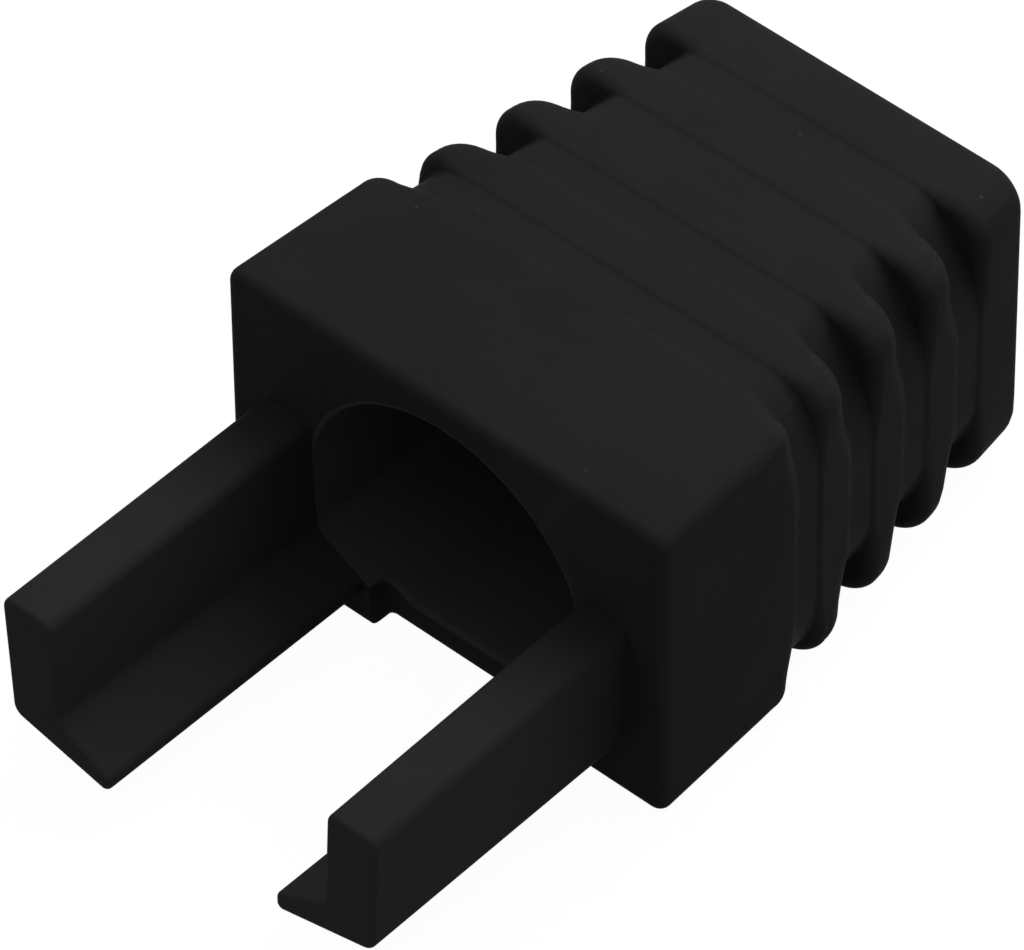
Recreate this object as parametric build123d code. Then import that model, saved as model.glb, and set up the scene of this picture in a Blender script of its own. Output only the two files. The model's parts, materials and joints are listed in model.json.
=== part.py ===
from build123d import *
import os

# Strain relief boot for a network plug: one soft moulding that slips over the
# cable behind the plug. X is across, Y runs from the arm tips to the cable
# end, Z is up. The boot lies on its flat underside, centred on the origin.
# All sizes are in millimetres.

# Outside of the body
front_w = 13.5          # width at the front face
waist_w = 12.88         # width where the plain block ends
rear_w = 10.1           # width at the cable end
front_h = 8.92
rear_h = 8.9
block_len = 4.93        # plain block at the front
collar_len = 1.94       # plain collar at the cable end
block_corner_r = 0.42   # long corners of the block
rib_top_r = 1.0         # upper long corners of the ribs and the collar
rib_low_r = 1.1         # lower ones, at the first rib
collar_low_r = 1.6      # and at the collar

# Ribs and the grooves between them
rib_count = 3
rib_w = 1.3
groove_w = 0.95
groove_side_r = 2.0     # the groove floor leaves the top this far from the corner
groove_drop_r = 3.0     # and meets the side this far below the top
groove_sink = 0.05      # depth that is left in the middle of each side
rib_edge = 0.28         # chamfer on every edge that faces a groove
front_rim_r = 0.28
rear_rim_r = 0.46

# Pocket for the tail of the plug, open at the front: an arch over a floor
pocket_depth = 5.0
pocket_floor = 0.95
floor_r = 0.35          # where the flat floor turns up
arch_r = 4.1
arch_z = 3.95           # height of the arch's centre

# Hole for the cable, open at the rear
bore_r = 3.1
bore_z = 4.45
bore_mouth = 0.25

# Two arms that reach along the latch of the plug
arm_len = 8.54
arm_wall = 1.52
arm_splay = 0.1         # the tips stand this much further out than the roots
arm_root_top = 5.51
arm_tip_top = 5.31
arm_foot = 1.65         # height of the outer lower corner
arm_lean = 0.05         # the outer and inner faces lean in by this share of their height
crook_z = 2.2           # height of the inner corner between the wall and the flange
flange_edge_x = 2.6     # inner edge of the flange, from the middle
flange_t = 0.5          # thickness there
arm_top_r = 0.3
arm_foot_r = 0.38
crook_r = 0.5
arm_edge_r = 0.2
arm_tip_r = 0.12

# Shallow notch in the lower front edge, between the two flanges
notch_w = 4.8
notch_d = 0.6
notch_r = 0.25

# Sizes that follow
pitch = rib_w + groove_w
collar_y = block_len + groove_w + rib_count * pitch
body_len = collar_y + collar_len
front_y = (arm_len - body_len) / 2
flange_top = pocket_floor + flange_t                                         # at its inner edge
arm_root_x = arch_r + arm_wall + arm_lean * (arm_root_top - arch_z)          # flush with the pocket
over = 1.0              # cutters reach this far past the surface
seat = 2 * rib_edge     # the groove floor runs this far into the block and the collar
near = 0.001            # edges this close to a plane lie on it


def across(y):
    """Sketch plane across the body at y, with X to the right and Z up."""
    return Plane(origin=(0, y, 0), x_dir=(1, 0, 0), z_dir=(0, -1, 0))


def mix(a, b, t):
    return a + (b - a) * t


def width_at(y):
    if y <= block_len:
        return mix(front_w, waist_w, y / block_len)
    return mix(waist_w, rear_w, (y - block_len) / (body_len - block_len))


def height_at(y):
    return mix(front_h, rear_h, y / body_len)


def core_section(y):
    """Section of the groove floor: it sinks away towards the four corners."""
    half_w = width_at(y) / 2 - groove_sink
    low = groove_sink
    high = height_at(y) - groove_sink
    side_x = half_w - groove_side_r
    corners = []
    for sx, z, start in ((1, high - groove_drop_r, 0), (-1, high - groove_drop_r, 90),
                         (-1, low + groove_drop_r, 180), (1, low + groove_drop_r, 270)):
        corners.append(EllipticalCenterArc((sx * side_x, z), groove_side_r, groove_drop_r, start))
    sides = [Line(corners[i] @ 1, corners[(i + 1) % 4] @ 0) for i in range(4)]
    return across(y) * make_face(Wire(corners + sides).edges())


def rim(solid, y):
    """Edges of the rim of a stretch of body or arm at y."""
    return solid.edges().filter_by_position(Axis.Y, y - near, y + near)


def stretch(y0, y1, top_r, low_r):
    """A plain stretch of the body: a tapered bar with rounded long corners."""
    inset = (width_at(y0) - width_at(y1)) / 2
    bar = Wedge(width_at(y0), y1 - y0, height_at(y0), inset, 0, inset + width_at(y1), height_at(y1),
                align=(Align.CENTER, Align.MIN, Align.MIN))
    bar = Pos(0, y0, 0) * bar
    for level, corner_r in ((-1, top_r), (0, low_r)):
        corners = bar.edges().filter_by(Axis.X, reverse=True).filter_by(Axis.Z, reverse=True)
        bar = fillet(corners.group_by(Axis.Z)[level], corner_r)
    return bar


def make_block():
    block = stretch(0, block_len, block_corner_r, block_corner_r)
    block = fillet(rim(block, 0), front_rim_r)
    return chamfer(rim(block, block_len), rib_edge)


def make_rib(i):
    y = block_len + groove_w + i * pitch
    rib = stretch(y, y + rib_w, rib_top_r, mix(rib_low_r, collar_low_r, i / rib_count))
    return chamfer(rim(rib, y) + rim(rib, y + rib_w), rib_edge)


def make_collar():
    collar = stretch(collar_y, body_len, rib_top_r, collar_low_r)
    collar = chamfer(rim(collar, collar_y), rib_edge)
    return fillet(rim(collar, body_len), rear_rim_r)


def make_body():
    """Block, ribs and collar, carried by the core whose skin is the groove floor."""
    body = make_block() + make_collar()
    for i in range(rib_count):
        body += make_rib(i)
    return body + loft([core_section(block_len - seat), core_section(collar_y + seat)], ruled=True)


def foot_at(outer_x, top_z):
    """Outer lower corner of the arm, below its leaning outer face."""
    return outer_x - arm_lean * (top_z - arm_foot), arm_foot


def crook_at(outer_x, top_z):
    """Inner corner of the arm, where its wall meets the flange."""
    return outer_x - arm_wall - arm_lean * (top_z - crook_z), crook_z


def arm_section(y, outer_x, top_z):
    """L section of the right arm: a leaning wall with a flange turned inwards."""
    points = [
        (outer_x, top_z),
        foot_at(outer_x, top_z),
        (flange_edge_x, pocket_floor),
        (flange_edge_x, flange_top),
        crook_at(outer_x, top_z),
        (outer_x - arm_wall, top_z),
    ]
    radii = [arm_top_r, arm_foot_r, arm_edge_r, arm_edge_r, crook_r, arm_top_r]
    outline = FilletPolyline(*points, radius=radii, close=True)
    return across(y) * make_face(outline.edges())


def make_arm():
    """The right arm, from the front face to its tip."""
    root = arm_section(0, arm_root_x, arm_root_top)
    tip = arm_section(-arm_len, arm_root_x + arm_splay, arm_tip_top)
    arm = loft([root, tip], ruled=True)
    return fillet(rim(arm, -arm_len), arm_tip_r)


def make_pocket():
    """The pocket carries on from the inner faces of the arms, to a flat floor and under an arch."""
    crook_x = crook_at(arm_root_x, arm_root_top)[0]
    rise = (crook_z - flange_top) / (crook_x - flange_edge_x)
    floor_x = flange_edge_x - flange_t / rise
    half = [(arch_r, arch_z), (crook_x, crook_z), (floor_x, pocket_floor)]
    points = half + [(-x, z) for x, z in reversed(half)]
    outline = FilletPolyline(*points, radius=[crook_r, floor_r, floor_r, crook_r])
    roof = RadiusArc(outline @ 0, outline @ 1, -arch_r)
    return extrude(across(pocket_depth) * make_face(outline.edges() + roof.edges()), amount=pocket_depth)


def make_bore():
    """Round hole from the back of the pocket to the cable end, its mouth eased."""
    end = body_len + over
    hole = extrude(across(end) * Pos(0, bore_z) * Circle(bore_r), amount=end - pocket_depth)
    mouth = Cone(bore_r, bore_r + bore_mouth + over, bore_mouth + over, align=(Align.CENTER, Align.CENTER, Align.MIN))
    return hole + Pos(0, body_len - bore_mouth, bore_z) * Rot(-90, 0, 0) * mouth


def make_notch():
    cutter = Box(notch_w, notch_d + over, flange_top + over, align=(Align.CENTER, Align.MAX, Align.MIN))
    cutter = fillet(cutter.edges().filter_by(Axis.Z).group_by(Axis.Y)[-1], notch_r)
    return Pos(0, notch_d, -over) * cutter


def make_boot():
    boot = make_body()
    boot -= make_pocket()
    boot -= make_bore()
    boot -= make_notch()
    arm = make_arm()
    boot += [arm, mirror(arm, about=Plane.YZ)]
    return Pos(0, front_y, 0) * boot


boot = make_boot()
boot.label = "strain_relief_boot"
print("solids", len(boot.solids()), "volume", round(boot.volume, 2))

os.makedirs("parts", exist_ok=True)
export_step(boot, "parts/strain_relief_boot.step")
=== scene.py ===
# %% [markdown]
# # A strain relief boot for a network plug
# The real object is one shot of soft black PVC: a plain block, three ribs and a collar
# around a cable bore, with two channel arms that reach forward along the plug.
# The CAD model fixes its size and place. Here the same form gets the soft rounding that a
# mould gives, and the finish of the plastic. The frame is loaded first, because everything
# that follows is measured from it, and it is never moved.

# %% Load the frame
import json
import math

import bmesh
import bpy
import numpy as np
from mathutils import Matrix, Vector
from mathutils.geometry import delaunay_2d_cdt


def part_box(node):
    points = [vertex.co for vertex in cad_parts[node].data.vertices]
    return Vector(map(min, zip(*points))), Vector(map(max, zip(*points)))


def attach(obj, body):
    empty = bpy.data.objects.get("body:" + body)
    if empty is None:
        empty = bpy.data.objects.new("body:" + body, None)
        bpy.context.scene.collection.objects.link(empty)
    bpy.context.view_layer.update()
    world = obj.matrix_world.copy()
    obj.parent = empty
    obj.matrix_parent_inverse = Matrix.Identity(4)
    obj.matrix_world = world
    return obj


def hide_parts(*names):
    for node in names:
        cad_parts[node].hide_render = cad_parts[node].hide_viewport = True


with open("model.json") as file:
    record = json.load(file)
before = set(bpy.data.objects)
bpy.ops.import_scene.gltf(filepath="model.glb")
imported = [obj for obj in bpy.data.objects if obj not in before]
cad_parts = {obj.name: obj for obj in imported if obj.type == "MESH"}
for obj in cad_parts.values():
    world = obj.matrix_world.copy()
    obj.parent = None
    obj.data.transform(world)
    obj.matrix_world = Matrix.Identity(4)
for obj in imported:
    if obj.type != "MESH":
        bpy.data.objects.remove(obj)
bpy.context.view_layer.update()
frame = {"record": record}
scene = bpy.context.scene
mounts = {m["name"]: m for m in frame["record"]["mounts"]}

# %% [markdown]
# ## Sizes
# The script works in millimetres, measured from the front face of the block, because that
# is the face that the drawing of such a boot starts from. What the frame knows is read from
# it: the place of the front face and the bore from the mounts, the reach of the arms and of
# the body from the node's box. The rest repeats the moulding's own sizes: a width and a
# height at the front and at the cable end, the length of the plain block, and the radii of
# the long corners, which grow rounder from the block to the collar.

# %% Sizes in millimetres
MM = 0.001
low, high = ([v / MM for v in corner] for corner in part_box("strain_relief_boot"))
front_y = mounts["plug_pocket_mouth"]["pos_m"][1] / MM
body_len = high[1] - front_y
arm_len = front_y - low[1]
bore_r = mounts["cable_bore"]["dims"]["r_mm"]
bore_z = mounts["cable_bore"]["pos_m"][2] / MM

front_w, waist_w, rear_w = 13.5, 12.88, 10.1
front_h, rear_h = 8.92, 8.9
block_len = 4.93
block_corner_r = 0.42
rib_top_r = 1.0
rib_low_r, collar_low_r = 1.1, 1.6
rib_count, rib_w, groove_w = 3, 1.3, 0.95
pitch = rib_w + groove_w
print("body", round(body_len, 2), "arms", round(arm_len, 2), "bore", bore_r)

# %% [markdown]
# ## The section of the sleeve
# Every slice across the sleeve is a rectangle with rounded corners. The grooves have a floor
# of their own, whose corners are cut back much further by a flat oval curve, so a groove is
# deep at the corners and all but gone in the middle of each side. A boolean cut would leave
# knife edges there. Instead each slice is a ring of points, and each point knows three
# things: where it lies on the ribs, which way is out, and which point of the groove floor
# lies below it. The first groove is a little shallower than the rest.

# %% One corner of the section
floor_sink = 0.05               # depth that is left in the middle of each side
first_floor = {"side": 1.65, "drop": 2.5, "fullness": 2.0}
deep_floor = {"side": 1.9, "drop": 3.0, "fullness": 1.38}


def corner(t, r, floor_shape=deep_floor):
    """Outline, outward direction and groove floor at angles t, measured inwards from the corner."""
    size = np.array([floor_shape["side"], floor_shape["drop"]])
    power = 2 / floor_shape["fullness"]
    round_trip = np.stack([np.cos(t), np.sin(t)], 1).clip(0)
    floor = floor_sink + size * (1 - round_trip ** power)
    way = round_trip ** (2 - power) / size
    way /= np.linalg.norm(way, axis=1)[:, None]
    reach = np.min(floor / np.maximum(way, 1e-9), axis=1)
    outline = floor - way * reach[:, None]
    outward = np.where((outline[:, :1] < outline[:, 1:]), [[1.0, 0.0]], [[0.0, 1.0]])
    inside = (outline < r).all(axis=1)
    along = ((floor - r) * way).sum(axis=1)
    reach = along + np.sqrt(np.maximum(along ** 2 - ((floor - r) ** 2).sum(axis=1) + r * r, 0))
    outline[inside] = (floor - way * reach[:, None])[inside]
    outward[inside] = (r - outline[inside]) / r
    return outline, outward, floor


def corner_angles(sharp_steps=10, rib_steps=14, even_steps=10, samples=4001):
    """Angles for the columns of a corner, close together where an outline turns."""
    t = np.linspace(0, math.pi / 2, samples)
    measure = even_steps * t / t[-1]
    for r, steps in ((block_corner_r, sharp_steps), (rib_top_r, rib_steps)):
        outward = corner(t, r)[1]
        measure += steps * np.arctan2(outward[:, 1], outward[:, 0]) / (math.pi / 2)
    return np.interp(np.arange(sharp_steps + rib_steps + even_steps + 1), measure, t)


angles = corner_angles()
print("columns in a corner:", len(angles))

# %% [markdown]
# ## The notch
# The front edge has a shallow notch between the flanges of the arms, where the latch of the
# plug swings. It could be cut out with a box, but its plan is drawn once instead: how far
# back each point of the bottom edge stands. The outside and the pocket's lip use the same
# columns there, so that the notch is a clean step from top to bottom.

# %% The notch in plan
notch_half, notch_d, notch_r = 2.4, 0.6, 0.25


def quarter_turn(steps):
    """Angles of a quarter turn in equal steps, both ends included."""
    return np.linspace(0, math.pi / 2, steps + 1)


lip_x = [0.0, 0.5, 1.0, 1.4, 1.57, 1.63, 1.69, 1.75, 1.95]     # close where the pocket's floor bends
lip_back = [notch_d] * len(lip_x)
for turn in quarter_turn(5):
    lip_x.append(notch_half - notch_r + notch_r * math.sin(turn))
    lip_back.append(notch_d - notch_r + notch_r * math.cos(turn))
lip_x.append(notch_half)
lip_back.append(0.0)
lip_x, lip_back = np.array(lip_x), np.array(lip_back)
notch_end = len(lip_x) - 1
print("notch columns:", len(lip_x))

# %% [markdown]
# ## A slice
# The moulding tapers to the cable end in width, and hardly at all in height. A slice at any
# place is put together from four flats and four corners. Only the right half is drawn, and
# the left half is its mirror image, so that the two sides can't drift apart.

# %% A whole slice
side_steps, top_steps = 6, 10
bottom_x_beyond = [2.7, 3.2, 3.8, 4.3]      # columns of the underside between the notch and the corner


def mix(a, b, t):
    """The value at share t of the way from a to b."""
    return a + (b - a) * t


def width_at(y):
    if y <= block_len:
        return mix(front_w, waist_w, y / block_len)
    return mix(waist_w, rear_w, (y - block_len) / (body_len - block_len))


def half_slice(y, top_r, low_r, floor_shape=deep_floor):
    """Right half of the slice at y, from the bottom centre to the top centre."""
    half_w = width_at(y) / 2
    height = mix(front_h, rear_h, y / body_len)
    flat_x = half_w - floor_sink - floor_shape["side"]
    front_flat = front_w / 2 - floor_sink - deep_floor["side"]
    bottom_x = np.concatenate([lip_x, bottom_x_beyond]) * flat_x / front_flat
    bottom = np.stack([bottom_x, 0 * bottom_x], 1)
    top_x = np.linspace(flat_x, 0, top_steps + 1)[1:]
    top = np.stack([top_x, 0 * top_x + height], 1)
    ends = floor_sink + floor_shape["drop"]
    side_z = np.linspace(ends, height - ends, side_steps + 1)[1:-1]
    side = np.stack([0 * side_z + half_w, side_z], 1)
    low_out, low_way, low_floor = corner(angles[::-1], low_r, floor_shape)
    top_out, top_way, top_floor = corner(angles, top_r, floor_shape)
    flip = np.array([-1, 1])

    def flat(points, way):
        way = np.array([way] * len(points), float)
        return points, way, points - way * floor_sink

    parts = [
        flat(bottom, (0, -1)),
        (np.array([half_w, 0]) + low_out * flip, low_way * -flip, np.array([half_w, 0]) + low_floor * flip),
        flat(side, (1, 0)),
        (np.array([half_w, height]) - top_out, top_way, np.array([half_w, height]) - top_floor),
        flat(top, (0, 1)),
    ]
    return [np.concatenate([part[i] for part in parts]) for i in range(3)]


def both_halves(half):
    """Close a half ring of x, z rows by its mirror image."""
    return np.concatenate([half, half[-2:0:-1] * [-1, 1]])


def in_space(flat_points, y):
    """Give x, z points their y."""
    return np.stack([flat_points[:, 0], np.zeros(len(flat_points)) + y, flat_points[:, 1]], 1)


notch_back = np.zeros(len(both_halves(half_slice(0, block_corner_r, block_corner_r)[0])))
notch_back[:notch_end + 1] = lip_back
notch_back[-notch_end:] = lip_back[:0:-1]
print("points in a slice:", len(notch_back))

# %% [markdown]
# ## Rims
# A rim that faces a groove is eased like the real one: the skin rolls over the rim, drops,
# and rolls out again onto the floor. Where the groove is shallow, both rolls turn through
# only a part of a right angle, so the step melts away towards the middle of each side. A
# bevel would have one width all along, and would leave a hard line on top of the sleeve.

# %% Rims as rows of slices
rim_front_r, block_rear_r, rib_rear_r = 0.4, 0.62, 0.74
shallow, deep = 0.1, 0.7                        # depths between which the foot gets tighter
shallow_foot_r, deep_foot_r = 0.3, 0.08
front_rim_r, rear_rim_r = 0.3, 0.46


def drop_at(past, depth, r, on_floor):
    """How far the skin lies below the rib at a distance past the rim, over a groove of this depth."""
    foot_r = np.interp(depth, [shallow, deep], [shallow_foot_r, deep_foot_r])
    turn = np.arccos(np.maximum(1 - depth / (r + foot_r), 0))
    if on_floor:
        rest = np.maximum(foot_r * np.sin(turn) - past, 0)
        return depth - foot_r + np.sqrt(foot_r ** 2 - rest ** 2)
    rolled = np.maximum(r * np.sin(turn) + past, 0)
    return r - np.sqrt(r ** 2 - rolled ** 2)


def groove_rim(y, way, top_r, low_r, r, floor_shape, round_steps=10, foot_steps=7):
    """Slices of a rim at y, in order along y, with the groove on the side that way points to."""
    stops = [(-r * (1 - math.sin(turn)), False) for turn in quarter_turn(round_steps)]
    stops += [(shallow_foot_r * (1 - math.cos(turn)), True) for turn in quarter_turn(foot_steps)]
    slices = []
    for past, on_floor in stops:
        outline, _, floor = half_slice(y + way * past, top_r, low_r, floor_shape)
        inward = floor - outline
        depth = np.linalg.norm(inward, axis=1)
        half = outline + inward * (drop_at(past, depth, r, on_floor) / depth)[:, None]
        slices.append(in_space(both_halves(half), y + way * past))
    return slices if way > 0 else slices[::-1]


def end_rim(y, way, r, top_r, low_r, steps=6):
    """Slices of the rounded rim at an end of the body, in order along y."""
    slices = []
    for turn in quarter_turn(steps)[::-1]:
        row_y = y - way * r * (1 - math.sin(turn))
        outline, outward, _ = half_slice(row_y, top_r, low_r)
        half = outline - outward * r * (1 - math.cos(turn))
        slices.append(in_space(both_halves(half), row_y))
    return slices if way < 0 else slices[::-1]


def sleeve_rows():
    """All slices of the outside, from the front face to the cable end."""
    rows = end_rim(0, -1, front_rim_r, block_corner_r, block_corner_r)
    for row in rows:
        row[:, 1] += notch_back
    for y in (2 * notch_d, block_len / 2, block_len * 3 / 4):
        rows.append(in_space(both_halves(half_slice(y, block_corner_r, block_corner_r)[0]), y))
    rows += groove_rim(block_len, 1, block_corner_r, block_corner_r, block_rear_r, first_floor)
    floor_shape = first_floor
    for i in range(rib_count):
        y = block_len + groove_w + i * pitch
        low_r = mix(rib_low_r, collar_low_r, i / rib_count)
        rows += groove_rim(y, -1, rib_top_r, low_r, rim_front_r, floor_shape)
        floor_shape = deep_floor
        rows += groove_rim(y + rib_w, 1, rib_top_r, low_r, rib_rear_r, floor_shape)
    y = block_len + groove_w + rib_count * pitch
    rows += groove_rim(y, -1, rib_top_r, collar_low_r, rim_front_r, floor_shape)
    return rows + end_rim(body_len, 1, rear_rim_r, rib_top_r, collar_low_r)


outside = sleeve_rows()
print("slices:", len(outside), "points:", len(outside) * len(outside[0]))

# %% [markdown]
# ## The arms
# Each arm is an L in section: a leaning wall with a flange turned inwards, whose sloping top
# runs on as the side of the pocket's floor. The section is a polygon whose corners are
# rounded one by one, drawn at the root and at the tip, and the arm runs straight between
# the two. The tips stand a little further out and lower than the roots. One extra point
# marks where the wall meets the arch of the pocket.

# %% Section of an arm
arm_wall, arm_splay, arm_lean = 1.52, 0.1, 0.05
arm_root_top, arm_tip_top, arm_foot = 5.51, 5.31, 1.65
arm_root_x = 5.698
crook_z, crook_r = 2.2, 0.5
pocket_floor, flange_edge_x, flange_t = 0.95, 2.6, 0.5
arm_top_r, arm_foot_r, arm_edge_r, arm_tip_r = 0.3, 0.38, 0.2, 0.14
arch_r, arch_z = 4.2, 3.85
corner_steps = 7


def rounded(points, radii, steps=corner_steps):
    """A clockwise polygon with rounded corners: its points and their outward directions."""
    outline, outward = [], []
    for i, (corner_point, r) in enumerate(zip(points, radii)):
        here = Vector(corner_point)
        before = (here - Vector(points[i - 1])).normalized()
        after = (Vector(points[(i + 1) % len(points)]) - here).normalized()
        start = math.atan2(before.x, -before.y)
        turn = math.remainder(math.atan2(after.x, -after.y) - start, 2 * math.pi)
        side = -1 if turn > 0 else 1
        left = Vector((-before.y, before.x))
        centre = here - before * r * math.tan(abs(turn) / 2) - left * side * r
        for k in range(steps + 1 if r else 1):
            angle = start + turn * k / steps
            way = Vector((math.cos(angle), math.sin(angle)))
            outline.append(centre + way * side * r)
            outward.append(way)
    return np.array(outline), np.array(outward)


def arm_section(outer_x, top_z):
    """The right arm's section, clockwise from the outer top corner."""
    crook_x = outer_x - arm_wall - arm_lean * (top_z - crook_z)
    meet = arch_meets(crook_x)
    points = [
        (outer_x, top_z),
        (outer_x - arm_lean * (top_z - arm_foot), arm_foot),
        (flange_edge_x, pocket_floor),
        (flange_edge_x, pocket_floor + flange_t),
        (crook_x, crook_z),
        meet,
        (outer_x - arm_wall, top_z),
    ]
    return rounded(points, [arm_top_r, arm_foot_r, arm_edge_r, arm_edge_r, crook_r, 0, arm_top_r])


def arch_meets(crook_x):
    """Where the leaning inner face of an arm meets the arch."""
    base = crook_x - arm_lean * crook_z
    a, b, c = 1 + arm_lean ** 2, arm_lean * base - arch_z, base ** 2 + arch_z ** 2 - arch_r ** 2
    z = (-b + math.sqrt(b * b - a * c)) / a
    return base + arm_lean * z, z


root, root_way = arm_section(arm_root_x, arm_root_top)
tip, tip_way = arm_section(arm_root_x + arm_splay, arm_tip_top)
print("points in the arm's section:", len(root))

# %% [markdown]
# ## The pocket
# The opening is a second ring of points: the lip over the notch, the sloping floor, the
# inner face of the arm and then the arch. Because the arm's own points are in it, the wall
# of the pocket runs on into the arm with no seam. The arch and the lip are eased by a small
# radius that fades to nothing where they meet the arm.

# %% The opening as a half ring
floor_r, lip_r, mouth_r = 0.35, 0.14, 0.12
pocket_depth, pocket_back_r = 5.0, 0.2
edge_top = 4 * (corner_steps + 1) - 1       # last point of the flange's edge, the fourth corner
meet_at = edge_top + corner_steps + 2       # the point where wall and arch meet
fade_length = 1.0                           # length of arch over which its easing fades


def floor_line():
    """Lip points over the notch: flat in the middle, then up the slope of the flange."""
    rise = math.atan2(root[edge_top + 1][1] - root[edge_top][1], root[edge_top + 1][0] - root[edge_top][0])
    start_x = flange_edge_x - flange_t / math.tan(rise) - floor_r * math.tan(rise / 2)
    bend_x = start_x + floor_r * math.sin(rise)
    z = np.full(len(lip_x), pocket_floor)
    bend = (lip_x > start_x) & (lip_x < bend_x)
    z[bend] += floor_r - np.sqrt(floor_r ** 2 - (lip_x[bend] - start_x) ** 2)
    slope = lip_x >= bend_x
    z[slope] = pocket_floor + flange_t - (flange_edge_x - lip_x[slope]) * math.tan(rise)
    return np.stack([lip_x, z], 1)


def half_mouth():
    """Opening from the bottom centre to the top centre: points, ways into the wall, and radii."""
    lip = floor_line()
    side = root[edge_top:meet_at + 1]
    arch_steps = len(notch_back) // 2 + 1 - len(lip) - len(side)
    first = math.atan2(side[-1][1] - arch_z, side[-1][0])
    turn = np.linspace(first, math.pi / 2, arch_steps + 1)[1:]
    way = np.stack([np.cos(turn), np.sin(turn)], 1)
    points = np.concatenate([lip, side, [0, arch_z] + way * arch_r])
    ways = np.concatenate([[[0, -1]] * len(lip), -root_way[edge_top:meet_at + 1], way])
    fade = np.minimum((turn - first) * arch_r / fade_length, 1)
    radii = np.concatenate([[lip_r] * (len(lip) - 1), [0] * (len(side) + 1), mouth_r * fade])
    return points, ways, radii


mouth, mouth_way, mouth_radius = half_mouth()
mouth_back = np.zeros(2 * len(mouth) - 2)
mouth_back[:notch_end + 1] = lip_back
mouth_back[-notch_end:] = lip_back[:0:-1]
print("points in the opening:", len(mouth_back))


def mouth_row(y, spread=0.0):
    """The opening as a slice at y, pushed into the wall by spread (out of it where negative)."""
    half = mouth + mouth_way * (np.zeros(len(mouth)) + spread)[:, None]
    return in_space(both_halves(half), y)


def pocket_rows(steps=4):
    """Slices of the pocket, from its eased mouth to its rounded back."""
    full_radius = np.concatenate([mouth_radius, mouth_radius[-2:0:-1]])
    rows = []
    for turn in quarter_turn(steps):
        back = full_radius * (1 - math.cos(turn)) + mouth_back
        rows.append(mouth_row(back, mouth_radius * (1 - math.sin(turn))))
    rows.append(mouth_row(2 * notch_d + lip_r))
    for turn in quarter_turn(steps):
        back = pocket_depth - pocket_back_r * (1 - math.sin(turn))
        rows.append(mouth_row(back, -pocket_back_r * (1 - math.cos(turn))))
    return rows


pocket = pocket_rows()
print("pocket slices:", len(pocket))

# %% [markdown]
# ## The bore
# The cable passes through a round bore, which in the mould is a plain core pin. A cylinder
# would do, but its ends would have to be cut into the pocket and the rear face. Rings with
# as many points as the pocket and the outside join both without a cut. The edge in the
# pocket is barely eased, and the mouth at the cable end is rounded so as not to chafe.

# %% The bore as rings
bore_edge_r, bore_mouth = 0.08, 0.25


def angles_round_bore(row):
    """The direction of each point of a row, seen from the middle of the bore."""
    return np.unwrap(np.arctan2(row[:, 2] - bore_z, row[:, 0]))


def bore_ring(y, r):
    """A circle round the bore, whose points turn gently from those of the pocket to those of the rear."""
    share = (y - pocket_depth) / (body_len - pocket_depth)
    turn = mix(angles_round_bore(pocket[-1]), angles_round_bore(outside[-1]), share)
    return np.stack([r * np.cos(turn), 0 * turn + y, bore_z + r * np.sin(turn)], 1)


def bore_rows(steps=4, middle_steps=8):
    """Circles of the bore, from its edge in the pocket to its mouth at the cable end."""
    rows = []
    for turn in quarter_turn(steps):
        back = bore_edge_r * (1 - math.cos(turn))
        rows.append(bore_ring(pocket_depth + back, bore_r + bore_edge_r * (1 - math.sin(turn))))
    for share in np.linspace(0, 1, middle_steps + 1)[1:-1]:
        rows.append(bore_ring(mix(pocket_depth, body_len - bore_mouth, share), bore_r))
    for turn in quarter_turn(steps):
        out = bore_mouth * (1 - math.cos(turn))
        rows.append(bore_ring(body_len - bore_mouth * (1 - math.sin(turn)), bore_r + out))
    return rows


bore = bore_rows()
print("bore slices:", len(bore))

# %% [markdown]
# ## The skin
# The real skin is one surface, so the mesh is one too, and not a pile of overlapping pieces.
# Two rows next to each other become a strip of faces, as cloth is sewn from hoop to hoop.
# Each face knows its finish: the outside, or the pocket and the bore.

# %% Strips of faces
OUTER, INNER = 0, 1


def add_rows(bm, rows):
    return [[bm.verts.new(point) for point in row] for row in rows]


def skin(bm, rows, finish=OUTER):
    """Faces between closed rings of vertices."""
    for lower, upper in zip(rows, rows[1:]):
        for i in range(len(lower)):
            corners = (lower[i - 1], lower[i], upper[i], upper[i - 1])
            bm.faces.new(corners).material_index = finish


print("strips of the outside:", len(outside) - 1, "with", len(outside[0]), "faces each")

# %% [markdown]
# ## The arms as rows
# An arm is straight, so three rows carry it from its root to near its tip. The tip is
# eased all round by a small radius, where the section shrinks towards its own inside. Scaling
# it would ease the thick wall more than the thin flange, so every point moves by the same
# distance instead, against its outward direction.

# %% The arms as rows
def arm_rows(side, steps=5):
    """Rings of an arm from its root to its rounded tip, side 1 for the right and -1 for the left."""
    rows = []
    straight = arm_len - arm_tip_r
    stops = [(straight * share, 0) for share in (0, 0.12, 0.88)]
    for turn in quarter_turn(steps):
        stops.append((straight + arm_tip_r * math.sin(turn), arm_tip_r * (1 - math.cos(turn))))
    for reach, inset in stops:
        section = mix(root, tip, reach / arm_len) - mix(root_way, tip_way, reach / arm_len) * inset
        rows.append(in_space(section * [side, 1], -reach))
    return rows


print("rows of an arm:", len(arm_rows(1)))

# %% [markdown]
# ## The front face
# The front face of the block is flat, and both arms, the pocket and the notch break into it.
# Its outline runs once round the block, and back along the arms and the arch. One polygon
# with so many points could be split wrongly, so that it folds over itself or closes the
# pocket. A Delaunay filling keeps to the outline.

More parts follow.
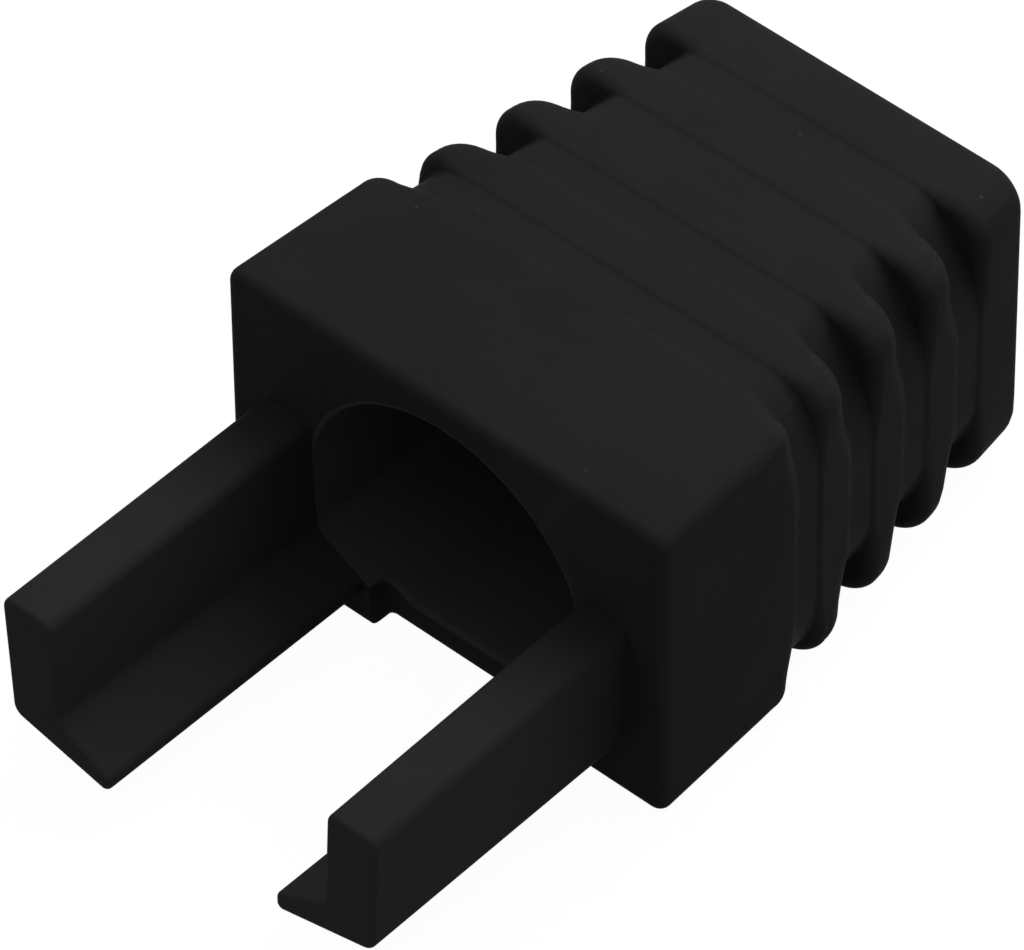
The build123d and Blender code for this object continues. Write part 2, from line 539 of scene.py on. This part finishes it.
# %% The front face
def front_face(bm, outer_ring, opening, arms):
    """Triangles of the flat front face, from the right wall of the notch round to the left one."""
    outer = outer_ring[notch_end:len(outer_ring) - notch_end + 1]
    arm_path = list(range(edge_top, -1, -1)) + list(range(len(root) - 1, meet_at, -1))
    arch_start = notch_end + 1 + meet_at - edge_top
    count = len(opening)
    inner = [opening[notch_end]] + [arms[0][k] for k in arm_path]
    inner += opening[arch_start:count - arch_start + 1]
    inner += [arms[1][k] for k in reversed(arm_path)] + [opening[count - notch_end]]
    loop = outer + inner[::-1]
    points = [Vector((vertex.co.x, vertex.co.z)) for vertex in loop]
    sides = [(i, (i + 1) % len(loop)) for i in range(len(loop))]
    only_inside, tolerance = 1, 1e-7
    _, _, triangles, source, _, _ = delaunay_2d_cdt(points, sides, [], only_inside, tolerance)
    for triangle in triangles:
        bm.faces.new([loop[source[i][0]] for i in triangle])
    print("triangles of the front face:", len(triangles))


# %% [markdown]
# ## One closed mesh
# The opening, the bore and the outside have as many points in a ring, so flat strips join
# them at the back of the pocket and at the cable end. Points that two strips share are then
# merged. Every edge must have exactly two faces, as in a solid, and the volume has to come
# close to the 1108 cubic millimetres of the CAD model.

# %% Join the rows
def build_mesh():
    """All strips, the tips of the arms, the walls of the notch and the front face, joined."""
    bm = bmesh.new()
    outer = add_rows(bm, outside)
    skin(bm, outer)
    opening = add_rows(bm, pocket)
    skin(bm, opening, INNER)
    hole = add_rows(bm, bore)
    skin(bm, [opening[-1]] + hole, INNER)
    skin(bm, [hole[-1], outer[-1]])
    arms = []
    for side in (1, -1):
        rows = add_rows(bm, arm_rows(side))
        skin(bm, rows)
        bm.faces.new(rows[-1])
        arms.append(rows[0])
    for step in range(-notch_end, notch_end):
        corners = (outer[0][step], outer[0][step + 1], opening[0][step + 1], opening[0][step])
        bm.faces.new(corners)
    front_face(bm, outer[0], opening[0], arms)
    bmesh.ops.remove_doubles(bm, verts=bm.verts, dist=1e-4)
    bmesh.ops.triangulate(bm, faces=[face for face in bm.faces if len(face.verts) > 4])
    bmesh.ops.recalc_face_normals(bm, faces=bm.faces)
    return bm


bm = build_mesh()
open_edges = sum(not edge.is_manifold for edge in bm.edges)
print("faces:", len(bm.faces), "open edges:", open_edges, "volume in mm3:", round(bm.calc_volume(), 1))

# %% [markdown]
# ## The piece in the frame
# The mesh moves from its own millimetres into the frame's metres and takes the place of the
# CAD node. Soft shading runs over the rolls, and only true corners stay sharp. Weighting
# the normals by face size keeps the large flats flat up to their rims.

# %% The piece in the frame
for vertex in bm.verts:
    vertex.co = (vertex.co + Vector((0, front_y, 0))) * MM
mesh = bpy.data.meshes.new("boot_moulding")
bm.to_mesh(mesh)
bm.free()
boot = bpy.data.objects.new("boot_moulding", mesh)
scene.collection.objects.link(boot)
for polygon in mesh.polygons:
    polygon.use_smooth = True
sharp_from = math.radians(32)
mesh.set_sharp_from_angle(angle=sharp_from)
even = boot.modifiers.new("even shading", "WEIGHTED_NORMAL")
even.keep_sharp = True
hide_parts("strain_relief_boot")
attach(boot, "root")
print("the piece:", boot.name, "with", len(mesh.polygons), "faces")

# %% [markdown]
# ## The camera
# The place and the focal length come from fitting the block, the ribs and the arms to the
# photograph. It looks down at the corner between the front and the right side, from above
# the right arm, with a long lens, so that parallel edges stay almost parallel.

# %% Camera
view_az, view_el, view_roll = 42.782, 45.31, -0.707
aim = Vector((-0.498, -0.147, 4.186)) * MM
distance = 244.607 * MM
az, el, roll = (math.radians(a) for a in (view_az, view_el, view_roll))
back = Vector((math.sin(az) * math.cos(el), -math.cos(az) * math.cos(el), math.sin(el)))
right = Vector((math.cos(az), math.sin(az), 0))
up = back.cross(right)
turned_right = right * math.cos(roll) + up * math.sin(roll)
turned_up = up * math.cos(roll) - right * math.sin(roll)
lens = bpy.data.cameras.new("camera")
lens.lens = 372.78
lens.sensor_width = 36
lens.clip_start = 0.01
camera = bpy.data.objects.new("camera", lens)
scene.collection.objects.link(camera)
axes = Matrix((turned_right, turned_up, back)).transposed().to_4x4()
camera.matrix_world = Matrix.Translation(aim + back * distance) @ axes
scene.camera = camera
scene.view_settings.view_transform = "Standard"
print("camera at", [round(v / MM, 1) for v in camera.matrix_world.translation], "mm")

# %% [markdown]
# ## Effects that both finishes share
# The outside and the pocket are the same plastic, shaped by different steel, so they share
# their effects. Each effect is a node group with named inputs, and each finish puts it in
# with values of its own. Small helpers make a group and its sockets, add a node with its
# values, and give the coordinates of the moulding in millimetres.

# %% Tools for node groups
def new_group(name, inputs, outputs):
    """An empty node group; inputs and outputs are lists of (name, socket type, default)."""
    tree = bpy.data.node_groups.new(name, "ShaderNodeTree")
    for socket_name, kind, default in inputs:
        socket = tree.interface.new_socket(socket_name, in_out="INPUT", socket_type=kind)
        socket.default_value = default
    for socket_name, kind in outputs:
        tree.interface.new_socket(socket_name, in_out="OUTPUT", socket_type=kind)
    return tree, tree.nodes.new("NodeGroupInput").outputs, tree.nodes.new("NodeGroupOutput").inputs


def node(tree, kind, settings=(), **values):
    """Add a node, set its settings, and set or link its inputs by name."""
    made = tree.nodes.new(kind)
    for key, value in dict(settings).items():
        setattr(made, key, value)
    for key, value in values.items():
        socket = made.inputs[int(key[1:])] if key[0] == "_" else made.inputs[key.replace("_", " ")]
        if isinstance(value, bpy.types.NodeSocket):
            tree.links.new(value, socket)
        else:
            socket.default_value = value
    return made


def calc(tree, operation, *values):
    """The result of a Math node."""
    numbered = {f"_{i}": value for i, value in enumerate(values)}
    return node(tree, "ShaderNodeMath", {"operation": operation}, **numbered).outputs[0]


def ramp(tree, value, start, end, shape="SMOOTHSTEP", **limits):
    """Nought at start, one at end, or between the limits that are given."""
    limits.update(From_Min=start, From_Max=end)
    return node(tree, "ShaderNodeMapRange", {"interpolation_type": shape}, Value=value, **limits).outputs[0]


def noise(tree, place, scale, detail, roughness=0.5):
    made = node(tree, "ShaderNodeTexNoise", Vector=place, Scale=scale, Detail=detail, Roughness=roughness)
    return made.outputs[0]


def in_millimetres(tree):
    """Coordinates of the moulding in millimetres."""
    place = node(tree, "ShaderNodeTexCoord").outputs["Object"]
    return node(tree, "ShaderNodeMapping", Vector=place, Scale=(1 / MM,) * 3).outputs[0]


FLOAT, COLOR, VECTOR = "NodeSocketFloat", "NodeSocketColor", "NodeSocketVector"
print("kinds of socket:", FLOAT, COLOR, VECTOR)

# %% [markdown]
# ## The grain of the mould
# A mould for such a boot is spark-eroded: the steel is covered with tiny craters, and the
# soft PVC copies them as a fine, dull grain. Displaced faces would cost far more than they
# show, so it is a bump made of two noises, a fine one for the craters and a wider one for
# the unevenness of the skin. The same fine noise scatters the roughness.

# %% Group: mould texture
def make_mould_texture():
    """Grain and waves as a normal, and a scattered roughness."""
    tree, given, result = new_group("mould texture", [
        ("Grain size", FLOAT, 0.09), ("Grain depth", FLOAT, 0.004), ("Wave depth", FLOAT, 0.01),
        ("Roughness", FLOAT, 0.5), ("Roughness spread", FLOAT, 0.1),
    ], [("Normal", VECTOR), ("Roughness", FLOAT)])
    place = in_millimetres(tree)
    grain = noise(tree, place, calc(tree, "DIVIDE", 1.0, given["Grain size"]), 3.0, 0.6)
    wave = noise(tree, place, 0.9, 2.0)
    grain_metres = calc(tree, "MULTIPLY", given["Grain depth"], MM)
    wave_metres = calc(tree, "MULTIPLY", given["Wave depth"], MM)
    wavy = node(tree, "ShaderNodeBump", Height=wave, Distance=wave_metres)
    grainy = node(tree, "ShaderNodeBump", Height=grain, Distance=grain_metres, Normal=wavy.outputs[0])
    centred = calc(tree, "SUBTRACT", grain, 0.5)
    spread = calc(tree, "MULTIPLY_ADD", centred, given["Roughness spread"], given["Roughness"])
    tree.links.new(grainy.outputs[0], result["Normal"])
    tree.links.new(spread, result["Roughness"])
    return tree


mould_texture = make_mould_texture()
print("group:", mould_texture.name, [s.name for s in mould_texture.interface.items_tree])

# %% [markdown]
# ## The drift of the tone, and painted light on the arms
# Black PVC is never one black. The pigment clouds a little over the length of the part, and
# handling rubs the raised rims a shade lighter. The clouds are a wide noise. The rub comes
# from how sharply the skin bends outwards, and a finer noise breaks it up. The arms are
# painted lighter towards their tips: painted light, standing in for the light that the white
# sheet throws up onto the thin, low arms.

# %% Group: tone drift and painted tip light
def make_tone_drift():
    """The tone with its clouds, its rub and the painted light towards the tips."""
    tree, given, result = new_group("tone drift and painted tip light", [
        ("Tone", COLOR, (0.01, 0.01, 0.01, 1)), ("Clouding", FLOAT, 0.2), ("Rub", FLOAT, 0.3),
        ("Painted tip light", FLOAT, 0.3),
    ], [("Color", COLOR)])
    place = in_millimetres(tree)
    swing = calc(tree, "MULTIPLY_ADD", noise(tree, place, 0.28, 4.0, 0.55), 2.0, -1.0)
    cloudy = calc(tree, "MULTIPLY_ADD", swing, given["Clouding"], 1.0)
    bend = node(tree, "ShaderNodeNewGeometry").outputs["Pointiness"]
    flat_skin, full_rim = 0.505, 0.56
    patchy = noise(tree, place, 1.7, 5.0, 0.65)
    rubbed = calc(tree, "MULTIPLY", ramp(tree, bend, flat_skin, full_rim), patchy)
    with_rub = calc(tree, "MULTIPLY_ADD", rubbed, given["Rub"], cloudy)
    # Painted light: the arms are painted lighter towards their tips, standing in for light thrown up from
    # the white sheet onto them.
    along = node(tree, "ShaderNodeSeparateXYZ", Vector=place).outputs["Y"]
    tip_light_reach = 0.6 * arm_len
    tips = ramp(tree, along, front_y, front_y - tip_light_reach)
    total = calc(tree, "MULTIPLY_ADD", tips, given["Painted tip light"], with_rub)
    toned = node(tree, "ShaderNodeVectorMath", {"operation": "SCALE"}, _0=given["Tone"], _3=total)
    tree.links.new(toned.outputs[0], result["Color"])
    return tree


tone_drift_with_tip_light = make_tone_drift()
print("group:", tone_drift_with_tip_light.name, [s.name for s in tone_drift_with_tip_light.interface.items_tree])

# %% [markdown]
# ## The dust
# Soft PVC is a little tacky, so it holds dust. Sparse specks lie on the faces that look up.
# Specks could be scattered as tiny meshes, but as a mask they cost nothing. Each cell of a
# Voronoi pattern holds one speck at most, and a wide noise leaves areas bare.

# %% Group: dust
def make_dust():
    """A mask of specks on the faces that look up."""
    tree, given, result = new_group("dust", [
        ("Speck spacing", FLOAT, 0.7), ("Speck size", FLOAT, 0.05), ("Amount", FLOAT, 0.5),
    ], [("Mask", FLOAT)])
    place = in_millimetres(tree)
    often = calc(tree, "DIVIDE", 1.0, given["Speck spacing"])
    cells = node(tree, "ShaderNodeTexVoronoi", Vector=place, Scale=often)
    speck = ramp(tree, cells.outputs["Distance"], given["Speck size"], 0.0)
    bare, dusty_from = 0.5, 0.62
    dusty = ramp(tree, noise(tree, place, 0.5, 3.0), bare, dusty_from, "LINEAR")
    normal = node(tree, "ShaderNodeNewGeometry").outputs["Normal"]
    height = node(tree, "ShaderNodeSeparateXYZ", Vector=normal).outputs["Z"]
    too_steep, flat_enough = 0.3, 0.9
    upward = ramp(tree, height, too_steep, flat_enough, "LINEAR")
    facing = calc(tree, "MULTIPLY", calc(tree, "MULTIPLY", speck, dusty), upward)
    tree.links.new(calc(tree, "MULTIPLY", facing, given["Amount"]), result["Mask"])
    return tree


dust = make_dust()
print("group:", dust.name, [s.name for s in dust.interface.items_tree])

# %% [markdown]
# ## Two finishes of one plastic
# The outside has the grain of the eroded cavity. The pocket and the bore are shaped by a
# core that is drawn out of the part, so their skin has less grain, is duller and is free of
# rub. Their tone is painted lighter than the outside's: painted light, standing in for the
# light that reaches into the pocket and the bore. The boot in the photograph hardly shines,
# even where it mirrors the white sheet, so the level of the gloss is far below that of hard
# plastic.

# %% The finishes
gloss_level = 0.003
dust_color = (0.16, 0.15, 0.135, 1)


def make_finish(name, tone, texture_values, drift_values, dust_values):
    """A material of the plastic: its tone, and values for each of the shared effects."""
    made = bpy.data.materials.new(name)
    made.use_nodes = True
    tree = made.node_tree
    tree.nodes.clear()

    def placed(group, values):
        put = tree.nodes.new("ShaderNodeGroup")
        put.node_tree = group
        for key, value in values.items():
            put.inputs[key].default_value = value
        return put.outputs

    texture = placed(mould_texture, texture_values)
    drift = placed(tone_drift_with_tip_light, dict(drift_values, Tone=tone))
    specks = placed(dust, dust_values)
    dusted = node(tree, "ShaderNodeMix", {"data_type": "RGBA"}, _0=specks["Mask"], _6=drift["Color"],
                  _7=dust_color)
    skin_shader = node(tree, "ShaderNodeBsdfPrincipled", Base_Color=dusted.outputs[2],
                       Roughness=texture["Roughness"], Normal=texture["Normal"])
    skin_shader.inputs["Specular IOR Level"].default_value = gloss_level
    node(tree, "ShaderNodeOutputMaterial", Surface=skin_shader.outputs[0])
    return made


outer_finish = make_finish(
    "boot_pvc", (0.0160, 0.0160, 0.0163, 1),
    {"Grain size": 0.11, "Grain depth": 0.006, "Wave depth": 0.03, "Roughness": 0.52,
     "Roughness spread": 0.2},
    {"Clouding": 0.16, "Rub": 0.25, "Painted tip light": 0.45},
    {"Speck spacing": 0.9, "Speck size": 0.07, "Amount": 0.25})
# Painted light: the inside's tone is set lighter than the outside's, standing in for light that reaches
# into the pocket and the bore.
inside_finish_painted_lighter = make_finish(
    "boot_pvc_inside_painted_light", (0.0330, 0.0330, 0.0336, 1),
    {"Grain size": 0.2, "Grain depth": 0.003, "Wave depth": 0.02, "Roughness": 0.6,
     "Roughness spread": 0.1},
    {"Clouding": 0.1, "Rub": 0.0, "Painted tip light": 0.0},
    {"Speck spacing": 0.6, "Speck size": 0.05, "Amount": 0.15})
for finish in (outer_finish, inside_finish_painted_lighter):
    boot.data.materials.append(finish)
print("finishes:", [finish.name for finish in boot.data.materials])

# %% [markdown]
# ## The floor and the room
# The boot lies on a white sheet that runs out of the picture. The camera and the reflections
# see it as white, with a trace of the boot's shadow left in it. As a light it is a soft
# grey, because a bright sheet would wash out the lower half of the ribs.

# %% Floor and world
white_color = (1, 1, 1, 1)
sheet_color = (0.4, 0.4, 0.4, 1)
white_share = 0.88              # the rest of what the eye sees of the sheet is lit and shadowed
white_strength = 1.1            # makes up for that rest, which is grey
horizon_light, top_light = 0.35, 0.66


def white_rays(tree):
    """One for every ray that shows a surface to the eye: straight, mirrored or passed on."""
    rays = node(tree, "ShaderNodeLightPath").outputs
    some = calc(tree, "ADD", rays["Is Camera Ray"], rays["Is Glossy Ray"])
    clamped = {"operation": "ADD", "use_clamp": True}
    return node(tree, "ShaderNodeMath", clamped, _0=some, _1=rays["Is Transmission Ray"]).outputs[0]


def make_sheet():
    """The white sheet: mostly plain white to the eye, a grey and matte surface to the light."""
    made = bpy.data.materials.new("white sheet")
    made.use_nodes = True
    tree = made.node_tree
    tree.nodes.clear()
    seen = calc(tree, "MULTIPLY", white_rays(tree), white_share)
    matte = node(tree, "ShaderNodeBsdfDiffuse", Color=sheet_color)
    glow = node(tree, "ShaderNodeEmission", Color=white_color, Strength=white_strength)
    shown = node(tree, "ShaderNodeMixShader", _0=seen, _1=matte.outputs[0], _2=glow.outputs[0])
    node(tree, "ShaderNodeOutputMaterial", Surface=shown.outputs[0])
    return made


def make_room():
    """The room: plain white to the eye, and a light that grows from the horizon upwards."""
    made = bpy.data.worlds.new("room")
    made.use_nodes = True
    tree = made.node_tree
    tree.nodes.clear()
    way_up = node(tree, "ShaderNodeTexCoord").outputs["Generated"]
    rise = node(tree, "ShaderNodeSeparateXYZ", Vector=way_up).outputs["Z"]
    horizon_ends, top_starts = 0.1, 0.9
    level = ramp(tree, rise, horizon_ends, top_starts, To_Min=horizon_light, To_Max=top_light)
    dim = node(tree, "ShaderNodeBackground", Color=white_color, Strength=level)
    white = node(tree, "ShaderNodeBackground", Color=white_color, Strength=1.0)
    either = node(tree, "ShaderNodeMixShader", _0=white_rays(tree), _1=dim.outputs[0], _2=white.outputs[0])
    node(tree, "ShaderNodeOutputWorld", Surface=either.outputs[0])
    return made


bpy.ops.mesh.primitive_plane_add(size=2)
floor = bpy.context.object
floor.name = "floor"
floor.data.materials.append(make_sheet())
scene.world = make_room()
print("staged:", floor.name, "and", scene.world.name)

# %% [markdown]
# ## The lamp
# The photograph was lit from straight above and a little from behind: the top is the
# lightest face, the rear more than the front, and the front face is the darkest. A wide
# soft box hangs over the cable end, and the room above it does the rest.

# %% Lamp
def soft_box(name, place_mm, target_mm, size_mm, power):
    """A square lamp that faces its target."""
    lamp = bpy.data.lights.new(name, "AREA")
    lamp.shape = "SQUARE"
    lamp.size = size_mm * MM
    lamp.energy = power
    stand = bpy.data.objects.new(name, lamp)
    scene.collection.objects.link(stand)
    stand.location = Vector(place_mm) * MM
    stand.rotation_euler = (Vector(place_mm) - Vector(target_mm)).to_track_quat("Z", "Y").to_euler()
    print(name, "at", place_mm, "mm")


soft_box("soft box", place_mm=(0, 34, 50), target_mm=(0, 4, 6), size_mm=50, power=0.025)
